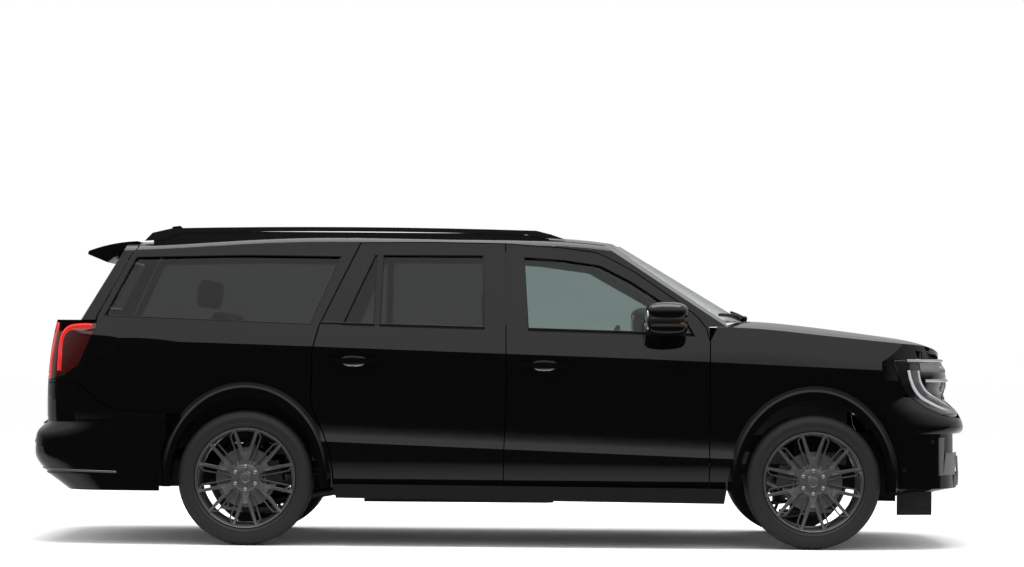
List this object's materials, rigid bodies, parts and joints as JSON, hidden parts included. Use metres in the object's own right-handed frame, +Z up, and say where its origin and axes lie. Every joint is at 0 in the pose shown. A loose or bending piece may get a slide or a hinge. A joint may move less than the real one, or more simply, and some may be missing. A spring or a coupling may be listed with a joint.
{
  "type": "full-size suv",
  "caption": "Full-size long-wheelbase utility vehicle with hinged doors, hood and split tailgate, steered front wheels and a furnished cabin.",
  "frame": {"origin": "on the ground, at the middle of the overall length and width", "axes": "+X forward, +Y to the vehicle's left, +Z up"},
  "size_m": [5.6106, 2.368, 1.9169],
  "materials": {
    "black_paint": "gloss",
    "window_glass": "polished",
    "tyre": "matte",
    "alloy": "satin",
    "lamp_clear": "polished",
    "lamp_red": "gloss",
    "black_plastic": "satin",
    "seat_leather": "satin",
    "carpet": "matte",
    "chassis_steel": "satin",
    "cast_alloy": "cast",
    "exhaust_steel": "brushed"
  },
  "bodies": {
    "chassis": {"body_side_left": "black_paint", "body_side_right": "black_paint", "cowl": "black_plastic", "crossmembers": "chassis_steel", "dashboard": "black_plastic", "driveshafts": "chassis_steel", "engine_block": "cast_alloy", "exhaust": "exhaust_steel", "fender_left": "black_paint", "fender_right": "black_paint", "floor_pan": "carpet", "frame_rails": "chassis_steel", "front_bumper": "black_paint", "front_seats": "seat_leather", "front_suspension": "chassis_steel", "fuel_tank": "black_plastic", "gearbox": "cast_alloy", "grille": "black_plastic", "headlamps": "lamp_clear", "hitch_receiver": "chassis_steel", "lower_grille": "black_plastic", "quarter_glass": "window_glass", "rear_bumper": "black_paint", "rear_suspension": "chassis_steel", "roof_panel": "black_paint", "roof_rails": "black_plastic", "running_boards": "black_plastic", "second_row_seats": "seat_leather", "spare_wheel": "tyre", "tail_lamps": "lamp_red", "third_row_seat": "seat_leather", "wheel_liners": "black_plastic", "windshield": "window_glass"},
    "front_door_left": {"front_door_left": "black_paint", "front_door_glass_left": "window_glass", "mirror_left": "black_paint"},
    "rear_door_left": {"rear_door_left": "black_paint", "rear_door_glass_left": "window_glass"},
    "knuckle_left": {"knuckle_left": "chassis_steel"},
    "wheel_front_left": {"wheel_front_left": "alloy", "tyre_front_left": "tyre"},
    "wheel_rear_left": {"wheel_rear_left": "alloy", "tyre_rear_left": "tyre"},
    "front_door_right": {"front_door_right": "black_paint", "front_door_glass_right": "window_glass", "mirror_right": "black_paint"},
    "rear_door_right": {"rear_door_right": "black_paint", "rear_door_glass_right": "window_glass"},
    "knuckle_right": {"knuckle_right": "chassis_steel"},
    "wheel_front_right": {"wheel_front_right": "alloy", "tyre_front_right": "tyre"},
    "wheel_rear_right": {"wheel_rear_right": "alloy", "tyre_rear_right": "tyre"},
    "hood": {"hood": "black_paint"},
    "liftgate": {"liftgate": "black_paint", "liftgate_glass": "window_glass"},
    "tailgate": {"tailgate": "black_paint"},
    "steering_wheel": {"steering_wheel": "black_plastic"}
  },
  "joints": [
    {"name": "steer_left", "type": "hinge", "parent": "chassis", "child": "knuckle_left", "pos_m": [1.833, 0.824, 0.398], "axis": [0, 0, 1], "range_deg": [-32, 32]},
    {"name": "spin_front_left", "type": "hinge", "parent": "knuckle_left", "child": "wheel_front_left", "pos_m": [1.833, 0.857, 0.398], "axis": [0, 1, 0], "continuous": true},
    {"name": "spin_rear_left", "type": "hinge", "parent": "chassis", "child": "wheel_rear_left", "pos_m": [-1.51, 0.857, 0.398], "axis": [0, 1, 0], "continuous": true},
    {"name": "front_door_left_hinge", "type": "hinge", "parent": "chassis", "child": "front_door_left", "pos_m": [1.22, 1, 0.8], "axis": [0, 0, -1], "range_deg": [0, 65]},
    {"name": "rear_door_left_hinge", "type": "hinge", "parent": "chassis", "child": "rear_door_left", "pos_m": [0.009, 1.003, 0.8], "axis": [0, 0, -1], "range_deg": [0, 68]},
    {"name": "steer_right", "type": "hinge", "parent": "chassis", "child": "knuckle_right", "pos_m": [1.833, -0.824, 0.398], "axis": [0, 0, 1], "range_deg": [-32, 32]},
    {"name": "spin_front_right", "type": "hinge", "parent": "knuckle_right", "child": "wheel_front_right", "pos_m": [1.833, -0.857, 0.398], "axis": [0, 1, 0], "continuous": true},
    {"name": "spin_rear_right", "type": "hinge", "parent": "chassis", "child": "wheel_rear_right", "pos_m": [-1.51, -0.857, 0.398], "axis": [0, 1, 0], "continuous": true},
    {"name": "front_door_right_hinge", "type": "hinge", "parent": "chassis", "child": "front_door_right", "pos_m": [1.22, -1, 0.8], "axis": [0, 0, 1], "range_deg": [0, 65]},
    {"name": "rear_door_right_hinge", "type": "hinge", "parent": "chassis", "child": "rear_door_right", "pos_m": [0.009, -1.003, 0.8], "axis": [0, 0, 1], "range_deg": [0, 68]},
    {"name": "hood_hinge", "type": "hinge", "parent": "chassis", "child": "hood", "pos_m": [1.328, 0, 1.345], "axis": [0, -1, 0], "range_deg": [0, 50]},
    {"name": "liftgate_hinge", "type": "hinge", "parent": "chassis", "child": "liftgate", "pos_m": [-2.177, 0, 1.815], "axis": [0, 1, 0], "range_deg": [0, 85]},
    {"name": "tailgate_hinge", "type": "hinge", "parent": "chassis", "child": "tailgate", "pos_m": [-2.747, 0, 0.752], "axis": [0, -1, 0], "range_deg": [0, 88]},
    {"name": "steering_wheel_turn", "type": "hinge", "parent": "chassis", "child": "steering_wheel", "pos_m": [0.651, 0.41, 1.15], "axis": [0.9136, 0, -0.4067], "range_deg": [-480, 480]}
  ],
  "couplings": [
    {"joint": "steer_right", "follows": "steer_left", "ratio": 1},
    {"joint": "steering_wheel_turn", "follows": "steer_left", "ratio": -14}
  ]
}
